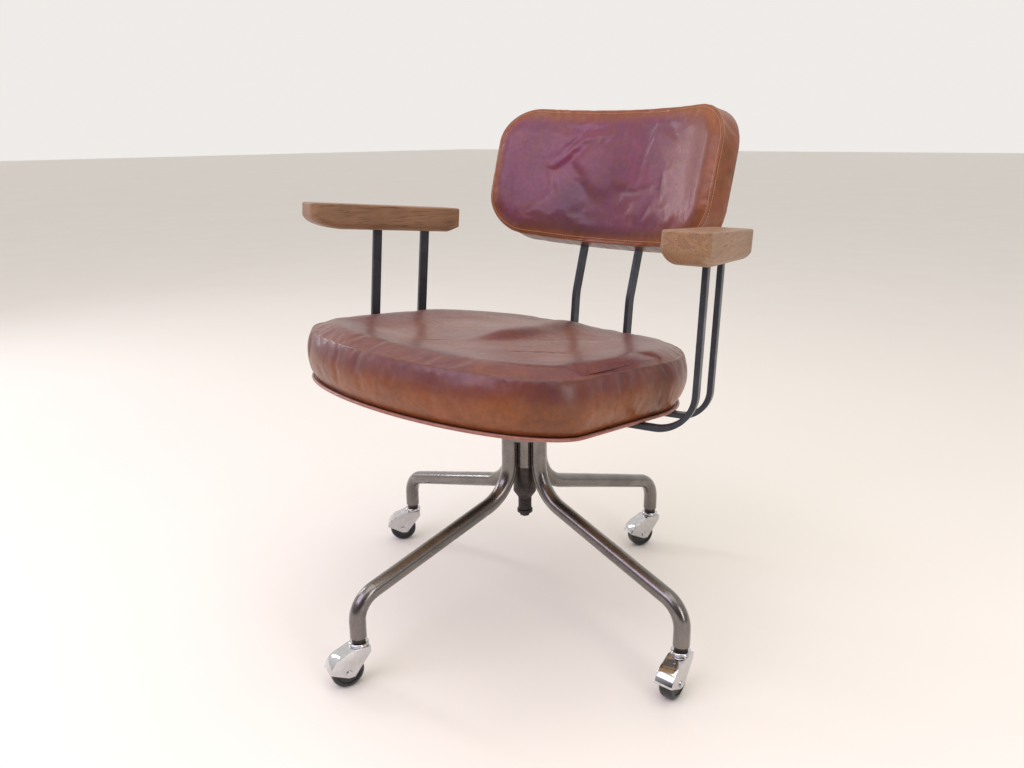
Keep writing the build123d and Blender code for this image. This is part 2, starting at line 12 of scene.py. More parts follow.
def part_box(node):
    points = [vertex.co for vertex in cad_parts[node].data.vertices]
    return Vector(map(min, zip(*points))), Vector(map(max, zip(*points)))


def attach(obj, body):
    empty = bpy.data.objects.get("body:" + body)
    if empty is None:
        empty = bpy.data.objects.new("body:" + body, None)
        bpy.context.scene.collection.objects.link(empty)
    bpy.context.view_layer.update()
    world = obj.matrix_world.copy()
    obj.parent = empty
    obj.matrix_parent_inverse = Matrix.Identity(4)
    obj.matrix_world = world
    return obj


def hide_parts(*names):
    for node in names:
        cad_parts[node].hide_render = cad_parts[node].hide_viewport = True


# Swivel desk chair in metres, in the CAD frame: +Z up, the seat faces -Y, the sitter's left is +X.

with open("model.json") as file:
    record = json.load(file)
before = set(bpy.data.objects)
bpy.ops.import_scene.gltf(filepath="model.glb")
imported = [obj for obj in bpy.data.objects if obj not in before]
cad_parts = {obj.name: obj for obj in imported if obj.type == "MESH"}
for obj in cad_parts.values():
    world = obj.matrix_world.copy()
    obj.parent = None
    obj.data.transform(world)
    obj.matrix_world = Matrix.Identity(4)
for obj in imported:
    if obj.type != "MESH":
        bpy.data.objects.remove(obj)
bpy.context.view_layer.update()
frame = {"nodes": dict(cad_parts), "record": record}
nodes = frame["nodes"]
record = frame["record"]

CORNERS = ("front", "left", "rear", "right")
SEAT_BODY = "seat_unit"
BASE_BODY = "base"

# ================= Camera, light and floor =================

CAMERA_PLACE = (0.7738, -0.8861, 0.6957)
CAMERA_AZIMUTH = 42.0
CAMERA_PITCH = 16.35
CAMERA_ROLL = 0.483
CAMERA_LENS = 29.95
BRIGHT_SIDE = (-0.50, 0.56, 0.66)


def make_camera():
    camera = bpy.data.objects.new("camera", bpy.data.cameras.new("camera"))
    camera.data.lens = CAMERA_LENS
    camera.data.sensor_width = 36
    camera.data.clip_start = 0.01
    turn = Matrix.Rotation(math.radians(CAMERA_AZIMUTH), 4, "Z")
    pitch = Matrix.Rotation(math.radians(90 - CAMERA_PITCH), 4, "X")
    roll = Matrix.Rotation(math.radians(-CAMERA_ROLL), 4, "Z")
    camera.matrix_world = Matrix.Translation(CAMERA_PLACE) @ turn @ pitch @ roll
    bpy.context.scene.collection.objects.link(camera)
    bpy.context.scene.camera = camera


def soft_light(name, place, aim, size, power, color):
    lamp = bpy.data.lights.new(name, "AREA")
    lamp.shape = "RECTANGLE"
    lamp.size, lamp.size_y = size
    lamp.energy = power
    lamp.color = color
    light = bpy.data.objects.new(name, lamp)
    light.location = place
    light.rotation_euler = (Vector(aim) - Vector(place)).to_track_quat("-Z", "Y").to_euler()
    bpy.context.scene.collection.objects.link(light)


def make_world():
    """A pale studio: bright beyond the chair and dimmer on the near side, so that metal has contrast."""
    world = bpy.data.worlds.new("studio")
    world.use_nodes = True
    bpy.context.scene.world = world
    bpy.context.scene.view_settings.view_transform = "Standard"
    tree = world.node_tree
    background = tree.nodes["Background"]
    place = tree.nodes.new("ShaderNodeTexCoord")
    toward = tree.nodes.new("ShaderNodeVectorMath")
    toward.operation = "DOT_PRODUCT"
    toward.inputs[1].default_value = BRIGHT_SIDE
    ramp = tree.nodes.new("ShaderNodeMapRange")
    ramp.inputs["From Min"].default_value = -0.45
    ramp.inputs["From Max"].default_value = 0.45
    mix = tree.nodes.new("ShaderNodeMix")
    mix.data_type = "RGBA"
    mix.inputs[6].default_value = (0.07, 0.07, 0.09, 1)
    mix.inputs[7].default_value = (0.86, 0.835, 0.81, 1)
    tree.links.new(place.outputs["Generated"], toward.inputs[0])
    tree.links.new(toward.outputs["Value"], ramp.inputs["Value"])
    tree.links.new(ramp.outputs[0], mix.inputs["Factor"])
    tree.links.new(mix.outputs[2], background.inputs[0])
    background.inputs[1].default_value = 1.0


make_camera()
make_world()
soft_light("window", (-2.6, -0.55, 1.45), (0, 0.1, 0.6), (0.22, 1.3), 13, (0.90, 0.90, 1.0))
soft_light("sky", (-0.5, -2.7, 2.3), (0, 0, 0.5), (2.8, 1.6), 48, (0.80, 0.72, 1.0))
soft_light("ceiling", (0.5, -0.5, 3.0), (0, 0, 0.3), (2.6, 2.6), 34, (1.0, 0.96, 0.90))
soft_light("side", (2.6, -0.6, 1.2), (0, 0, 0.4), (0.6, 1.6), 16, (1.0, 0.97, 0.94))

# ================= Materials =================


class Shader:
    """A node material built step by step; its surface is one Principled shader."""

    def __init__(self, name):
        self.material = bpy.data.materials.new(name)
        self.material.use_nodes = True
        self.tree = self.material.node_tree
        self.surface = self.tree.nodes["Principled BSDF"]
        self.place = self.tree.nodes.new("ShaderNodeTexCoord").outputs["Object"]

    def node(self, kind, **settings):
        made = self.tree.nodes.new(kind)
        for key, value in settings.items():
            setattr(made, key, value)
        return made

    def put(self, socket, value):
        """Connect an output to a socket, or set the socket to a constant."""
        if isinstance(value, bpy.types.NodeSocket):
            self.tree.links.new(value, socket)
        else:
            socket.default_value = value

    def set(self, **values):
        for key, value in values.items():
            self.put(self.surface.inputs[key.replace("_", " ")], value)

    def mapped(self, scale=(1, 1, 1), turn=(0, 0, 0)):
        """Object coordinates, turned first and then scaled."""
        turned = self.node("ShaderNodeMapping", vector_type="POINT")
        self.put(turned.inputs["Vector"], self.place)
        turned.inputs["Rotation"].default_value = [math.radians(angle) for angle in turn]
        scaled = self.node("ShaderNodeMapping", vector_type="POINT")
        self.put(scaled.inputs["Vector"], turned.outputs[0])
        scaled.inputs["Scale"].default_value = scale
        return scaled.outputs[0]

    def noise(self, scale, detail=3.0, rough=0.55, distort=0.0, vector=None):
        made = self.node("ShaderNodeTexNoise")
        self.put(made.inputs["Vector"], vector or self.place)
        made.inputs["Scale"].default_value = scale
        made.inputs["Detail"].default_value = detail
        made.inputs["Roughness"].default_value = rough
        made.inputs["Distortion"].default_value = distort
        return made.outputs[0]

    def cells(self, scale, feature="F1", vector=None):
        made = self.node("ShaderNodeTexVoronoi", feature=feature)
        self.put(made.inputs["Vector"], vector or self.place)
        made.inputs["Scale"].default_value = scale
        return made.outputs["Distance"]

    def attribute(self, name):
        return self.node("ShaderNodeAttribute", attribute_name=name).outputs["Fac"]

    def span(self, value, low, high, to_low=0.0, to_high=1.0):
        made = self.node("ShaderNodeMapRange")
        self.put(made.inputs["Value"], value)
        made.inputs["From Min"].default_value = low
        made.inputs["From Max"].default_value = high
        made.inputs["To Min"].default_value = to_low
        made.inputs["To Max"].default_value = to_high
        return made.outputs[0]

    def math(self, operation, first, second=0.0):
        made = self.node("ShaderNodeMath", operation=operation)
        self.put(made.inputs[0], first)
        self.put(made.inputs[1], second)
        return made.outputs[0]

    def blend(self, factor, first, second, mode="MIX"):
        made = self.node("ShaderNodeMix", data_type="RGBA", blend_type=mode)
        self.put(made.inputs["Factor"], factor)
        self.put(made.inputs[6], first)
        self.put(made.inputs[7], second)
        return made.outputs[2]

    def bump(self, height, distance, strength=1.0, below=None):
        made = self.node("ShaderNodeBump")
        self.put(made.inputs["Height"], height)
        made.inputs["Distance"].default_value = distance
        made.inputs["Strength"].default_value = strength
        if below is not None:
            self.put(made.inputs["Normal"], below)
        self.put(self.surface.inputs["Normal"], made.outputs[0])
        return made.outputs[0]


def rgb(red, green, blue):
    return (red, green, blue, 1.0)


def leather_material(name, plum, tan):
    """Glossy waxed leather: plum-brown where it is broad, with a painted violet sheen in the plum, and
    tan where it turns or is worn, with tan also standing for painted warm bounce light; the dark
    attribute darkens stains and painted shade.
    """
    sh = Shader(name)
    warm = sh.attribute("warm")
    dark = sh.attribute("dark")
    cloud = sh.span(sh.noise(9.0, 4.0, 0.6, 0.4), 0.32, 0.68)
    streak = sh.span(sh.noise(26.0, 5.0, 0.65, 1.2), 0.35, 0.7)
    mottle = sh.span(sh.noise(140.0, 3.0, 0.7), 0.35, 0.65)
    # the plum colour carries a painted violet sheen, standing for bluish light reflected off the leather
    broad = sh.blend(sh.math("MULTIPLY", cloud, 0.6), plum, rgb(0.085, 0.030, 0.062))
    broad = sh.blend(sh.math("MULTIPLY", streak, 0.35), broad, rgb(0.25, 0.078, 0.050))
    # tan is the leather's own colour where it turns, and also painted warm light bounced from below on
    # the lower boxing
    turned = sh.blend(sh.math("MULTIPLY", streak, 0.55), tan, rgb(0.135, 0.036, 0.012))
    unrest = sh.math("MULTIPLY", sh.math("SUBTRACT", streak, 0.5), 0.35)
    warmth = sh.node("ShaderNodeClamp")
    sh.put(warmth.inputs[0], sh.math("ADD", warm, unrest))
    hide = sh.blend(warmth.outputs[0], broad, turned)
    hide = sh.blend(sh.math("MULTIPLY", mottle, 0.34), hide, rgb(0.075, 0.022, 0.014))
    # the dark attribute darkens real stains and also painted shade in creases, under edges and along the
    # lower edge
    stain_and_shade = sh.math("MULTIPLY", dark, sh.span(streak, 0.0, 1.0, 0.75, 1.0))
    hide = sh.blend(stain_and_shade, hide, rgb(0.035, 0.012, 0.010))
    rough = sh.span(sh.math("ADD", sh.math("MULTIPLY", mottle, 0.4), cloud), 0.0, 1.4, 0.30, 0.46)
    sh.set(Base_Color=hide, Roughness=rough, Specular_IOR_Level=0.42)
    sh.set(Coat_Weight=0.16, Coat_Roughness=0.20, Coat_IOR=1.4)
    fold = sh.bump(sh.noise(34.0, 4.0, 0.6, 0.8), 0.0012, 0.5)
    grain = sh.math("ADD", sh.cells(900.0), sh.math("MULTIPLY", sh.noise(420.0, 3.0, 0.6), 0.8))
    grained = sh.bump(grain, 0.00010, 0.35, fold)
    gather = sh.node("ShaderNodeMath", operation="SINE")
    sh.put(gather.inputs[0], sh.math("MULTIPLY", sh.attribute("along"), 2 * math.pi / 0.0042))
    pucker = sh.math("MULTIPLY", gather.outputs[0], sh.attribute("gather"))
    sh.bump(pucker, 0.0002, 0.35, grained)
    return sh.material


def welt_material():
    sh = Shader("leather_welt")
    wear = sh.span(sh.noise(90.0, 4.0, 0.7), 0.35, 0.7)
    sh.set(Base_Color=sh.blend(wear, rgb(0.24, 0.075, 0.048), rgb(0.38, 0.155, 0.110)))
    sh.set(Roughness=sh.span(wear, 0.0, 1.0, 0.32, 0.46), Coat_Weight=0.25, Coat_Roughness=0.2)
    sh.bump(sh.math("ADD", sh.cells(800.0), sh.noise(300.0)), 0.00015, 0.5)
    return sh.material


def thread_material(name, light, deep):
    sh = Shader(name)
    fibre = sh.noise(2200.0, 2.0)
    sh.set(Base_Color=sh.blend(fibre, deep, light), Roughness=0.7, Sheen_Weight=0.3)
    sh.bump(fibre, 0.0001, 0.6)
    return sh.material


def wood_material(name, turn):
    """Oiled oak with its grain along the armrest: rings, fibres and pores."""
    sh = Shader(name)
    stretched = sh.mapped((26, 2.4, 30), (0, 0, turn))
    fibres = sh.mapped((520, 9, 520), (0, 0, turn))
    pores = sh.mapped((900, 34, 900), (0, 0, turn))
    wander = sh.noise(1.0, 3.0, 0.5, 0.6, stretched)
    rings = sh.node("ShaderNodeMath", operation="FRACT")
    sh.put(rings.inputs[0], sh.math("MULTIPLY", wander, 9.0))
    ring = sh.span(rings.outputs[0], 0.0, 1.0)
    late = sh.math("MULTIPLY", ring, ring)
    fine = sh.span(sh.noise(1.0, 3.0, 0.65, 0.2, fibres), 0.3, 0.7)
    pore = sh.span(sh.noise(1.0, 1.0, 0.5, 0.0, pores), 0.60, 0.68)
    shade = sh.span(sh.noise(11.0, 2.0), 0.35, 0.65)
    hue = sh.blend(shade, rgb(0.31, 0.160, 0.075), rgb(0.23, 0.110, 0.048))
    hue = sh.blend(sh.math("MULTIPLY", late, 0.55), hue, rgb(0.13, 0.056, 0.025))
    hue = sh.blend(sh.math("MULTIPLY", fine, 0.40), hue, rgb(0.38, 0.215, 0.110))
    hue = sh.blend(sh.math("MULTIPLY", pore, 0.75), hue, rgb(0.085, 0.032, 0.015))
    sh.set(Base_Color=hue, Roughness=sh.span(fine, 0.0, 1.0, 0.42, 0.58))
    sh.set(Coat_Weight=0.12, Coat_Roughness=0.35)
    relief = sh.math("SUBTRACT", sh.math("MULTIPLY", fine, 0.5), sh.math("MULTIPLY", pore, 1.2))
    sh.bump(relief, 0.00022, 0.7)
    return sh.material


def ply_material():
    sh = Shader("plywood")
    grain = sh.noise(1.0, 3.0, 0.6, 0.4, sh.mapped((60, 5, 400)))
    sh.set(Base_Color=sh.blend(grain, rgb(0.46, 0.30, 0.16), rgb(0.62, 0.45, 0.27)), Roughness=0.75)
    sh.bump(grain, 0.0003, 0.5)
    return sh.material


def tube_material():
    """Bare steel tube under clear lacquer: warm grey with a faint cloudy tone and dark specks."""
    sh = Shader("lacquered_tube")
    cloud = sh.span(sh.noise(24.0, 3.0, 0.6, 0.5), 0.35, 0.65)
    speck = sh.span(sh.noise(420.0, 3.0, 0.7), 0.42, 0.62)
    hue = sh.blend(cloud, rgb(0.230, 0.208, 0.192), rgb(0.155, 0.136, 0.124))
    hue = sh.blend(sh.math("MULTIPLY", speck, 0.25), hue, rgb(0.05, 0.044, 0.042))
    sh.set(Base_Color=hue, Metallic=0.92, Roughness=sh.span(cloud, 0.0, 1.0, 0.22, 0.30))
    sh.set(Coat_Weight=0.7, Coat_Roughness=0.09)
    sh.bump(sh.noise(300.0, 4.0, 0.7), 0.00008, 0.4)
    return sh.material


def bar_material():
    """Hot-rolled flat bar: blue-grey mill scale with faint scuffs under a satin coat."""
    sh = Shader("blackened_bar")
    cloud = sh.span(sh.noise(30.0, 4.0, 0.65, 0.6), 0.35, 0.65)
    scuff = sh.span(sh.noise(160.0, 5.0, 0.75, 1.0), 0.56, 0.72)
    hue = sh.blend(cloud, rgb(0.060, 0.066, 0.080), rgb(0.040, 0.042, 0.050))
    hue = sh.blend(sh.math("MULTIPLY", scuff, 0.5), hue, rgb(0.13, 0.13, 0.14))
    sh.set(Base_Color=hue, Metallic=0.75, Roughness=sh.span(cloud, 0.0, 1.0, 0.34, 0.46))
    sh.set(Coat_Weight=0.2, Coat_Roughness=0.3)
    sh.bump(sh.noise(500.0, 4.0, 0.7), 0.0001, 0.5)
    return sh.material


def iron_material():
    sh = Shader("oiled_iron")
    cloud = sh.span(sh.noise(60.0, 4.0, 0.7), 0.35, 0.65)
    hue = sh.blend(cloud, rgb(0.070, 0.058, 0.052), rgb(0.030, 0.026, 0.026))
    sh.set(Base_Color=hue, Metallic=0.7, Roughness=sh.span(cloud, 0.0, 1.0, 0.36, 0.52))
    sh.bump(sh.noise(700.0, 3.0, 0.7), 0.00012, 0.6)
    return sh.material


def chrome_material():
    sh = Shader("chrome_plate")
    haze = sh.span(sh.noise(120.0, 4.0, 0.7), 0.35, 0.75)
    sh.set(Base_Color=sh.blend(haze, rgb(0.66, 0.66, 0.68), rgb(0.52, 0.51, 0.51)), Metallic=1.0)
    sh.set(Roughness=sh.span(haze, 0.0, 1.0, 0.05, 0.15))
    sh.bump(sh.noise(45.0, 2.0), 0.0003, 0.25)
    return sh.material


def zinc_material():
    sh = Shader("zinc_plate")
    haze = sh.span(sh.noise(240.0, 4.0, 0.7), 0.35, 0.7)
    sh.set(Base_Color=sh.blend(haze, rgb(0.62, 0.62, 0.60), rgb(0.42, 0.41, 0.38)), Metallic=1.0)
    sh.set(Roughness=sh.span(haze, 0.0, 1.0, 0.22, 0.40))
    sh.bump(sh.noise(900.0), 0.00008, 0.5)
    return sh.material


def bronze_material():
    sh = Shader("bearing_bronze")
    haze = sh.span(sh.noise(300.0, 4.0, 0.7), 0.35, 0.7)
    sh.set(Base_Color=sh.blend(haze, rgb(0.50, 0.31, 0.12), rgb(0.30, 0.17, 0.07)), Metallic=1.0)
    sh.set(Roughness=sh.span(haze, 0.0, 1.0, 0.28, 0.45))
    return sh.material


def tyre_material():
    sh = Shader("tyre_rubber")
    dust = sh.span(sh.noise(180.0, 5.0, 0.75), 0.50, 0.75)
    dusty = sh.math("MULTIPLY", dust, 0.4)
    sh.set(Base_Color=sh.blend(dusty, rgb(0.014, 0.014, 0.017), rgb(0.10, 0.095, 0.085)))
    sh.set(Roughness=sh.span(dust, 0.0, 1.0, 0.30, 0.60))
    sh.bump(sh.noise(600.0, 4.0), 0.00012, 0.5)
    return sh.material


def core_material():
    sh = Shader("wheel_nylon")
    grain = sh.noise(700.0, 3.0)
    sh.set(Base_Color=sh.blend(grain, rgb(0.020, 0.020, 0.021), rgb(0.035, 0.034, 0.034)), Roughness=0.5)
    sh.bump(grain, 0.0001, 0.4)
    return sh.material


def floor_material():
    sh = Shader("pale_floor")
    wash = sh.noise(1.3, 3.0, 0.5)
    sh.set(Base_Color=sh.blend(wash, rgb(0.84, 0.79, 0.72), rgb(0.87, 0.825, 0.76)))
    sh.set(Roughness=sh.span(sh.noise(5.0, 3.0), 0.3, 0.7, 0.45, 0.60))
    return sh.material


SEAT_LEATHER = leather_material("seat_leather", rgb(0.140, 0.034, 0.030), rgb(0.300, 0.084, 0.014))
# the backrest's plum is brown leather with a painted violet reflection of bluish light mixed into it
BACK_LEATHER = leather_material("backrest_leather", rgb(0.205, 0.030, 0.086), rgb(0.300, 0.080, 0.012))
WELT = welt_material()
THREAD = thread_material("tan_thread", rgb(0.60, 0.33, 0.16), rgb(0.40, 0.18, 0.08))
TUBE = tube_material()
BAR = bar_material()
IRON = iron_material()
CHROME = chrome_material()
ZINC = zinc_material()
BRONZE = bronze_material()
TYRE = tyre_material()
CORE = core_material()
PLYWOOD = ply_material()


def lay_floor():
    half = 30.0
    mesh = bpy.data.meshes.new("floor")
    ring = [(-half, -half, 0), (half, -half, 0), (half, half, 0), (-half, half, 0)]
    mesh.from_pydata(ring, [], [(0, 1, 2, 3)])
    mesh.materials.append(floor_material())
    floor = bpy.data.objects.new("floor", mesh)
    bpy.context.scene.collection.objects.link(floor)


lay_floor()


def dress(names, material):
    """Give CAD nodes their finished material."""
    for name in names:
        mesh = nodes[name].data
        mesh.materials.clear()
        mesh.materials.append(material)


def per_corner(*stems):
    return [f"{stem}_{corner}" for stem in stems for corner in CORNERS]


BARS = [f"arm_bar_{hand}_{place}" for hand in ("left", "right") for place in ("front", "rear")]
dress(["hub_column", "hub_top_ring", *per_corner("leg")], TUBE)
dress(["spindle_nut", "spindle_boss", "spindle_washer", "spindle_end_bolt", "caster_sleeves"], IRON)
dress(["column_bushing"], BRONZE)
dress(per_corner("caster_collar", "caster_axle"), CHROME)
dress(per_corner("caster_stem"), ZINC)
dress(["seat_bolts", "arm_bar_screws", "back_post_screws", "seat_tee_nuts"], ZINC)
dress(per_corner("caster_wheel"), CORE)
dress(per_corner("caster_tyre"), TYRE)
dress(["seat_support_plate", *BARS, "back_post_left", "back_post_right"], BAR)
dress(["seat_board", "backrest_board"], PLYWOOD)

# ================= Mesh helpers =================


def new_piece(name, points, faces, material, body, replaced=()):
    """A smooth mesh piece that rides on a body and stands for the replaced CAD nodes."""
    mesh = bpy.data.meshes.new(name)
    mesh.from_pydata([tuple(point) for point in points], [], faces)
    turned = bmesh.new()
    turned.from_mesh(mesh)
    bmesh.ops.recalc_face_normals(turned, faces=turned.faces)
    turned.to_mesh(mesh)
    turned.free()
    mesh.shade_smooth()
    mesh.materials.append(material)
    piece = bpy.data.objects.new(name, mesh)
    bpy.context.scene.collection.objects.link(piece)
    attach(piece, body)
    if replaced:
        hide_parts(*replaced)
    return piece


def bake_modifiers(piece):
    """Apply a piece's modifiers to its mesh."""
    bpy.context.view_layer.update()
    graph = bpy.context.evaluated_depsgraph_get()
    final = bpy.data.meshes.new_from_object(piece.evaluated_get(graph))
    piece.modifiers.clear()
    piece.data = final


def reach(node, direction):
    """Lowest and highest coordinate of a CAD node along a direction."""
    places = [vertex.co.dot(direction) for vertex in nodes[node].data.vertices]
    return min(places), max(places)


def ring_faces(first, second, count):
    """Quads between two closed rings of count points that start at the given indices."""
    return [
        (first + step, first + (step + 1) % count, second + (step + 1) % count, second + step)
        for step in range(count)
    ]


def tube_along(path, radius, sides=8, closed=False):
    """Points and faces of a round tube along a path."""
    points, faces = [], []
    total = len(path)
    up = None
    for step, here in enumerate(path):
        ahead = path[(step + 1) % total] if closed or step + 1 < total else here
        behind = path[step - 1] if closed or step > 0 else here
        heading = (ahead - behind).normalized()
        if up is None:
            up = heading.orthogonal().normalized()
        side = heading.cross(up).normalized()
        up = side.cross(heading).normalized()
        for turn in range(sides):
            angle = 2 * math.pi * turn / sides
            points.append(here + (side * math.cos(angle) + up * math.sin(angle)) * radius)
    for step in range(total if closed else total - 1):
        following = (step + 1) % total
        faces.extend(ring_faces(step * sides, following * sides, sides))
    if not closed:
        faces.append(tuple(reversed(range(sides))))
        faces.append(tuple(range((total - 1) * sides, total * sides)))
    return points, faces


class Parts:
    """Collects many small closed forms into one mesh."""

    def __init__(self):
        self.points = []
        self.faces = []

    def add(self, points, faces):
        base = len(self.points)
        self.points.extend(points)
        self.faces.extend(tuple(base + index for index in face) for face in faces)


# ================= Panels: outline, rings and a Delaunay field =================


def even_closed(points, count):
    """count points at even steps along a closed polyline."""
    ring = np.array(list(points) + [points[0]], float)
    steps = np.linalg.norm(np.diff(ring, axis=0), axis=1)
    along = np.concatenate([[0], np.cumsum(steps)])
    wanted = np.linspace(0, along[-1], count, endpoint=False)
    return np.stack([np.interp(wanted, along, ring[:, axis]) for axis in range(2)], axis=1)


def arc(centre, radii, start, turn, count=40):
    """Points of an elliptical arc, from the start angle and without its last point."""
    angles = np.radians(start + turn * np.linspace(0, 1, count, endpoint=False))
    return [(centre[0] + radii[0] * math.cos(a), centre[1] + radii[1] * math.sin(a)) for a in angles]


def outward(outline):
    """Unit normals of a counter-clockwise outline."""
    tangent = np.roll(outline, -1, axis=0) - np.roll(outline, 1, axis=0)
    normal = np.stack([tangent[:, 1], -tangent[:, 0]], axis=1)
    return normal / np.linalg.norm(normal, axis=1)[:, None]


def edge_distance(points, outline):
    """Distance from each point to the outline, and which outline point is nearest."""
    gaps = np.linalg.norm(points[:, None, :] - outline[None, :, :], axis=2)
    return gaps.min(axis=1), gaps.argmin(axis=1)


def inside(points, outline):
    """Which points lie inside the outline, by counting the edges crossed on one side."""
    x, y = points[:, 0], points[:, 1]
    count = np.zeros(len(points), int)
    following = np.roll(outline, -1, axis=0)
    for (x0, y0), (x1, y1) in zip(outline, following):
        crosses = (y0 > y) != (y1 > y)
        with np.errstate(divide="ignore", invalid="ignore"):
            at = x0 + (y - y0) * (x1 - x0) / (y1 - y0)
        count += crosses & (x < at)
    return count % 2 == 1


def panel_field(outline, insets, spacing):
    """A flat panel: rings at the given insets from the outline, then an even triangle field.

    Returns the points, the faces and each point's distance from the outline; the first
    len(outline) points are the outline itself."""
    normal = outward(outline)
    rings = [outline - inset * normal for inset in insets]
    inner = rings[-1]
    low, high = inner.min(axis=0), inner.max(axis=0)
    rows = np.arange(low[1], high[1], spacing * math.sqrt(3) / 2)
    field = []
    for index, y in enumerate(rows):
        shift = spacing / 2 * (index % 2)
        field.extend((x, y) for x in np.arange(low[0] + shift, high[0], spacing))
    field = np.array(field)
    field = field[inside(field, inner)]
    gap, _ = edge_distance(field, inner)
    field = field[gap > spacing * 0.7]
    count = len(outline)
    flat = np.concatenate([*rings, field])
    inner_ring = list(range(count))
    cut = [Vector(point) for point in np.concatenate([inner, field])]
    edges = [(index, (index + 1) % count) for index in inner_ring]
    points, _, triangles, origins, _, _ = delaunay_2d_cdt(cut, edges, [], 1, 1e-6, True)
    offset = count * (len(rings) - 1)
    added = [tuple(point) for point, origin in zip(points, origins) if not origin]
    spare = iter(range(len(cut), len(cut) + len(added)))
    source = [origin[0] if origin else next(spare) for origin in origins]
    if added:
        flat = np.concatenate([flat, np.array(added)])
    faces = []
    for step in range(len(rings) - 1):
        faces.extend(ring_faces(step * count, (step + 1) * count, count))
    faces.extend(tuple(offset + source[index] for index in triangle) for triangle in triangles)
    distance, _ = edge_distance(flat, outline)
    for step, inset in enumerate(insets):
        distance[step * count:(step + 1) * count] = inset
    return flat, faces, distance


def smooth_step(value, low, high):
    share = np.clip((np.asarray(value, float) - low) / (high - low), 0, 1)
    return share * share * (3 - 2 * share)


def noise_at(points, scale, seed):
    """Smooth noise between about -1 and 1 at 3-D points."""
    shift = Vector((seed * 17.3, seed * 5.1, seed * 9.7))
    return np.array([noise.noise(Vector(point) * scale + shift) for point in points])


def paint(piece, **fields):
    """Store per-point numbers that the leather's material reads."""
    for name, values in fields.items():
        layer = piece.data.attributes.new(name, "FLOAT", "POINT")
        layer.data.foreach_set("value", np.asarray(values, np.float32))


def inflate(piece, held, cap, pressure, frames=20, shrink=0.0):
    """Swell a closed piece as cloth under pressure.

    held says how firmly each point is pinned, and cap how far each point may move."""
    start = np.array([vertex.co for vertex in piece.data.vertices])
    group = piece.vertex_groups.new(name="held")
    for index, weight in enumerate(held):
        if weight > 0:
            group.add([index], float(weight), "REPLACE")
    cloth = piece.modifiers.new("swell", "CLOTH")
    settings = cloth.settings
    settings.quality = 5
    settings.mass = 0.3
    settings.tension_stiffness = 30
    settings.compression_stiffness = 30
    settings.shear_stiffness = 15
    settings.bending_stiffness = 1.5
    settings.use_pressure = True
    settings.uniform_pressure_force = pressure
    settings.shrink_min = shrink
    settings.vertex_group_mass = "held"
    settings.pin_stiffness = 1.0
    settings.effector_weights.gravity = 0
    cloth.collision_settings.use_collision = False
    cloth.collision_settings.use_self_collision = False
    cloth.point_cache.frame_start = 1
    cloth.point_cache.frame_end = frames
    scene = bpy.context.scene
    for number in range(1, frames + 1):
        scene.frame_set(number)
    graph = bpy.context.evaluated_depsgraph_get()
    swollen = piece.evaluated_get(graph).to_mesh()
    end = np.array([vertex.co for vertex in swollen.vertices])
    piece.evaluated_get(graph).to_mesh_clear()
    piece.modifiers.clear()
    piece.vertex_groups.clear()
    scene.frame_set(1)
    move = end - start
    length = np.linalg.norm(move, axis=1)
    limit = np.asarray(cap, float)
    share = limit * np.tanh(length / np.maximum(limit, 1e-9)) / np.maximum(length, 1e-9)
    settled = start + move * share[:, None]
    piece.data.vertices.foreach_set("co", settled.astype(np.float32).ravel())
    piece.data.update()


def refine(piece, levels=1):
    """Subdivide a soft piece smoothly."""
    made = piece.modifiers.new("refine", "SUBSURF")
    made.levels = levels
    made.render_levels = levels
    bake_modifiers(piece)


# ================= Seat =================

seat_up = Vector(record["mounts"][1]["axis"]).normalized()
seat_side = Vector((1, 0, 0))
seat_forward = seat_side.cross(seat_up)
SEAT_ORIGIN = Vector((0, 0, 0.430))
GIRTH = 0.0025
SEAM_INSET = 0.004
SEAM_DROP = 0.007
BOTTOM_INSET = 0.008
BOARD_INSET = 0.014
SHOULDER = 0.160
REAR_CORNER = 0.153
SEAT_REAR_BOW = 0.0025
RECESS = 0.0105
SEAT_STEPS = 288


def seat_place(side, forward, up):
    return SEAT_ORIGIN + seat_side * float(side) + seat_forward * float(forward) + seat_up * float(up)


def seat_span(node, direction):
    low, high = reach(node, direction)
    base = SEAT_ORIGIN.dot(direction)
    return low - base, high - base


def seat_outline():
    """The cushion's outline, seen from above: side and forward coordinates."""
    half = seat_span("seat_cushion", seat_side)[1]
    back, front = seat_span("seat_cushion", seat_forward)
    corner = REAR_CORNER
    points = arc((0, SHOULDER), (half, front - SHOULDER), 0, 180, 120)
    points += [(-half, SHOULDER), (-half, (SHOULDER + back + corner) / 2)]
    points += arc((corner - half, back + corner), (corner, corner), 180, 90)
    points += [(corner - half, back), (0, back)]
    points += arc((half - corner, back + corner), (corner, corner), 270, 90)
    points += [(half, back + corner), (half, (SHOULDER + back + corner) / 2)]
    outline = even_closed(points, SEAT_STEPS)
    rear = outline[:, 1] < 0
    outline[:, 1] -= rear * SEAT_REAR_BOW * (1 - (outline[:, 0] / half) ** 2)
    return outline


def seat_top_height(side, forward, inset):
    """Height of the top panel: a raised border, two worn hollows and a soft ridge between."""
    border = 0.0065 - 0.0045 * smooth_step(forward, 0.0, -0.120)
    rise = border * smooth_step(inset, 0.0, 0.032) - SEAM_DROP
    bowl = smooth_step(inset, 0.036, 0.110)
    back_part = smooth_step(forward, 0.150, -0.040)
    ridge_width = 0.009 + 0.028 * back_part
    ridge = np.exp(-((side + 0.004) / ridge_width) ** 2) * smooth_step(forward, 0.125, 0.030)
    ridge = ridge * smooth_step(inset, 0.012, 0.060)
    return rise - border * bowl + 0.0095 * ridge


